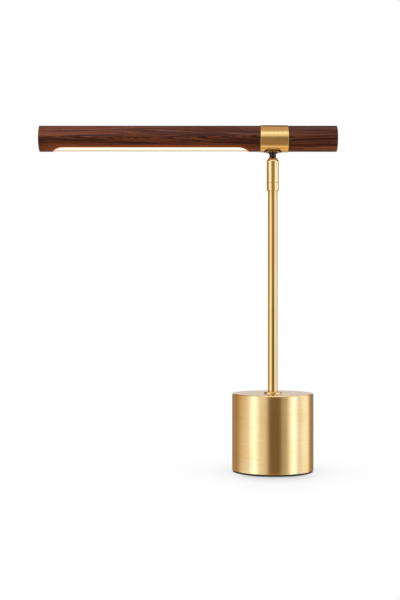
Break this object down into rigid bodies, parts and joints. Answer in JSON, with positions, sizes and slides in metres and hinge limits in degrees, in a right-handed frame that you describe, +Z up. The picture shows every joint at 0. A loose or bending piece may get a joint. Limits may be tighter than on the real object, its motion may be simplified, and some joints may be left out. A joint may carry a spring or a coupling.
{
  "type": "desk lamp",
  "caption": "Desk lamp: a level wooden tube with a long light slot, held off centre by a brass collar on a ball swivel, slim brass stem and heavy brass drum base.",
  "frame": {"origin": "centre of the drum base on the table, under the stem's axis", "axes": "+Z up along the stem, -Y towards the front, -X along the tube's long arm"},
  "size_m": [0.4355, 0.1212, 0.5066],
  "materials": {
    "satin_brass": "satin, fine brushed",
    "dark_wood": "oiled, low sheen",
    "black_steel": "glossy black",
    "opal_lens": "opal, satin",
    "black_rubber": "matte",
    "zinc_steel": "zinc plated",
    "grey_iron": "as cast",
    "black_plastic": "fine grain",
    "circuit_board": "solder mask",
    "spring_bronze": "plain",
    "white_nylon": "plain",
    "plain_aluminium": "mill",
    "light_chip": "clear",
    "lead_sleeve": "smooth"
  },
  "bodies": {
    "base": {"foot_pad": "black_rubber", "base_shell": "satin_brass", "bottom_plate": "zinc_steel", "bottom_screws": "zinc_steel", "base_weight": "grey_iron", "cord_bush": "black_plastic", "led_driver": "black_plastic", "driver_screws": "zinc_steel", "board_posts": "zinc_steel", "dimmer_board": "circuit_board", "contact_spring": "spring_bronze", "tie_tube": "zinc_steel", "lock_washer": "zinc_steel", "tie_nut": "zinc_steel", "foot_ring": "satin_brass", "stem_tube": "satin_brass", "top_nipple": "zinc_steel", "swivel_ring": "satin_brass", "swivel_barrel": "satin_brass", "disc_springs": "zinc_steel", "stem_lead": "lead_sleeve"},
    "cup": {"friction_cup": "white_nylon"},
    "stud": {"ball_stud": "black_steel", "turn_washer": "white_nylon", "stud_nut": "zinc_steel", "stud_lead": "lead_sleeve"},
    "head": {"saddle_bush": "satin_brass", "head_collar": "satin_brass", "wood_rod": "dark_wood", "led_channel": "plain_aluminium", "channel_screws": "zinc_steel", "led_strip": "circuit_board", "led_chips": "light_chip", "lens": "opal_lens", "head_lead": "lead_sleeve"}
  },
  "joints": [
    {"name": "tilt_direction", "type": "hinge", "parent": "base", "child": "cup", "pos_m": [0, 0, 0.45575], "axis": [0, 0, 1], "continuous": true},
    {"name": "head_tilt", "type": "hinge", "parent": "cup", "child": "stud", "pos_m": [0, 0, 0.45575], "axis": [0, 1, 0], "range_deg": [-11, 11]},
    {"name": "head_turn", "type": "hinge", "parent": "stud", "child": "head", "pos_m": [0, 0, 0.45575], "axis": [0, 0, 1], "range_deg": [-170, 170]}
  ]
}
